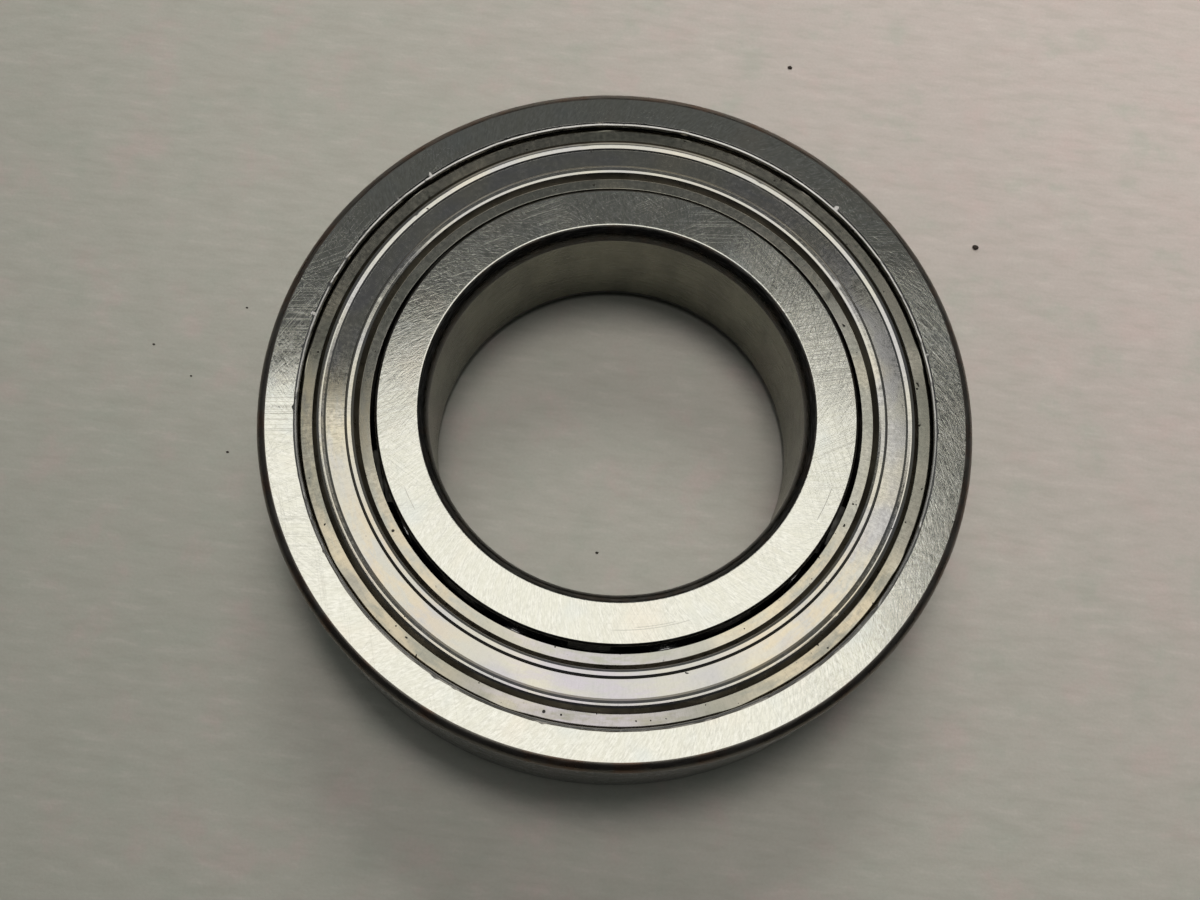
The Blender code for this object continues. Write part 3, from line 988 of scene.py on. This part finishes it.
def make_crumbs():
    """A few dark specks of dirt on the work top."""
    graph = Graph("crumb")
    grain = graph.noise(graph.place, 6000.0, 2.0)
    colour = graph.mix(grain, (0.012, 0.010, 0.009, 1), (0.05, 0.04, 0.03, 1))
    rough = graph.level(grain, 0.3, 0.7, 0.6, 0.85)
    material = graph.finish(colour, rough, 0.0, graph.bump(grain, 0.05 * MM))
    for index, (x, y, size) in enumerate(CRUMBS):
        bm = bmesh.new()
        bmesh.ops.create_icosphere(bm, subdivisions=2, radius=size * MM)
        for vert in bm.verts:
            vert.co *= 1 + random_numbers.uniform(-0.25, 0.25)
            vert.co.x *= 1.35
            vert.co.z *= 0.5
        mesh = bpy.data.meshes.new(f"crumb_{index}")
        bm.to_mesh(mesh)
        bm.free()
        crumb = link_mesh(f"crumb_{index}", mesh, material)
        crumb.location = (x * MM, y * MM, -HALF_WIDTH + 0.4 * size * MM)


def area_light(name, place, size, watts, colour):
    lamp = bpy.data.lights.new(name, "AREA")
    lamp.shape = "RECTANGLE"
    lamp.size, lamp.size_y = size
    lamp.energy = watts
    lamp.color = colour
    light = bpy.data.objects.new(name, lamp)
    light.location = place
    bpy.context.scene.collection.objects.link(light)
    return light


def soft_spot(name, place, target, radius, cone, watts, colour):
    """A wide soft lamp that lights the work top and isn't seen in the metal."""
    lamp = bpy.data.lights.new(name, "SPOT")
    lamp.energy = watts
    lamp.color = colour
    lamp.shadow_soft_size = radius
    lamp.spot_size = cone
    lamp.spot_blend = 1.0
    light = bpy.data.objects.new(name, lamp)
    light.location = place
    light.rotation_euler = (target - place).to_track_quat("-Z", "Y").to_euler()
    light.visible_glossy = False
    bpy.context.scene.collection.objects.link(light)


PANEL_HEIGHT = 0.9
PANEL_CENTRE = Vector((-0.020, 0.106, 1.0))
PANEL_SIZE = (0.66, 0.60)
PANEL_TURN = math.radians(13.5)
PANEL_RADIANCE = 1.35
KEYS = (
    ("key_above", (0.08, 0.27, 0.87), (0.15, 0.17, 0.0), 0.24, math.radians(36), 44.0, (1.0, 0.88, 0.88)),
    ("key_back", (-0.05, 1.10, 0.80), (0.0, 0.60, 0.0), 0.35, math.radians(66), 52.0, (1.0, 0.96, 0.95)),
)
ROOM_DARK = (0.030, 0.031, 0.032, 1)
ROOM_LIGHT = (0.122, 0.127, 0.128, 1)
ROOM_FAR = (0.66, 0.63, 0.57, 1)
# Where the room turns from dark to light and where it turns bright, along Y.
ROOM_TURN = (-0.45, 0.35)
ROOM_END = (0.66, 0.95)


def make_lights():
    """A soft panel overhead and two soft keys that light the work top."""
    width, depth = (side * PANEL_HEIGHT for side in PANEL_SIZE)
    watts = PANEL_RADIANCE * math.pi * width * depth
    panel = area_light("panel", PANEL_CENTRE * PANEL_HEIGHT, (width, depth), watts, (1.0, 0.99, 0.955))
    panel.rotation_euler = (0.0, 0.0, PANEL_TURN)
    for name, place, target, radius, cone, watts, colour in KEYS:
        soft_spot(name, Vector(place), Vector(target), radius, cone, watts, colour)


def make_room():
    """A room that is darker on the near side and bright at the far end."""
    world = bpy.data.worlds.new("room")
    bpy.context.scene.world = world
    world.use_nodes = True
    nodes = world.node_tree.nodes
    links = world.node_tree.links
    direction = nodes.new("ShaderNodeTexCoord")
    split = nodes.new("ShaderNodeSeparateXYZ")
    links.new(direction.outputs["Generated"], split.inputs[0])
    colour = None
    for span, near, far in ((ROOM_TURN, ROOM_DARK, ROOM_LIGHT), (ROOM_END, None, ROOM_FAR)):
        share = nodes.new("ShaderNodeMapRange")
        share.interpolation_type = "SMOOTHSTEP"
        share.inputs["From Min"].default_value, share.inputs["From Max"].default_value = span
        links.new(split.outputs["Y"], share.inputs["Value"])
        blend = nodes.new("ShaderNodeMix")
        blend.data_type = "RGBA"
        blend.inputs[7].default_value = far
        if colour is None:
            blend.inputs[6].default_value = near
        else:
            links.new(colour, blend.inputs[6])
        links.new(share.outputs["Result"], blend.inputs[0])
        colour = blend.outputs[2]
    links.new(colour, nodes["Background"].inputs["Color"])


CAMERA_RIGHT = Vector((0.99288, 0.11330, 0.03669))
CAMERA_DOWN = Vector((0.11909, -0.94459, -0.30590))
CAMERA_FORWARD = Vector((0.0, 0.30810, -0.95140))
CAMERA_PLACE = Vector((-1.49, -55.20, 152.52)) * MM + Vector((0, 0, HALF_WIDTH))
CAMERA_LENS = 41.09


def make_camera():
    data = bpy.data.cameras.new("camera")
    data.sensor_width = 36.0
    data.lens = CAMERA_LENS
    data.clip_start = 0.005
    camera = bpy.data.objects.new("camera", data)
    axes = Matrix((CAMERA_RIGHT, -CAMERA_DOWN, -CAMERA_FORWARD)).transposed()
    camera.matrix_world = Matrix.Translation(CAMERA_PLACE) @ axes.to_4x4()
    bpy.context.scene.collection.objects.link(camera)
    bpy.context.scene.camera = camera


make_camera()
make_bearing()
make_floor()
make_crumbs()
make_lights()
make_room()
bpy.context.scene.view_settings.view_transform = "Standard"

bpy.context.view_layer.update()
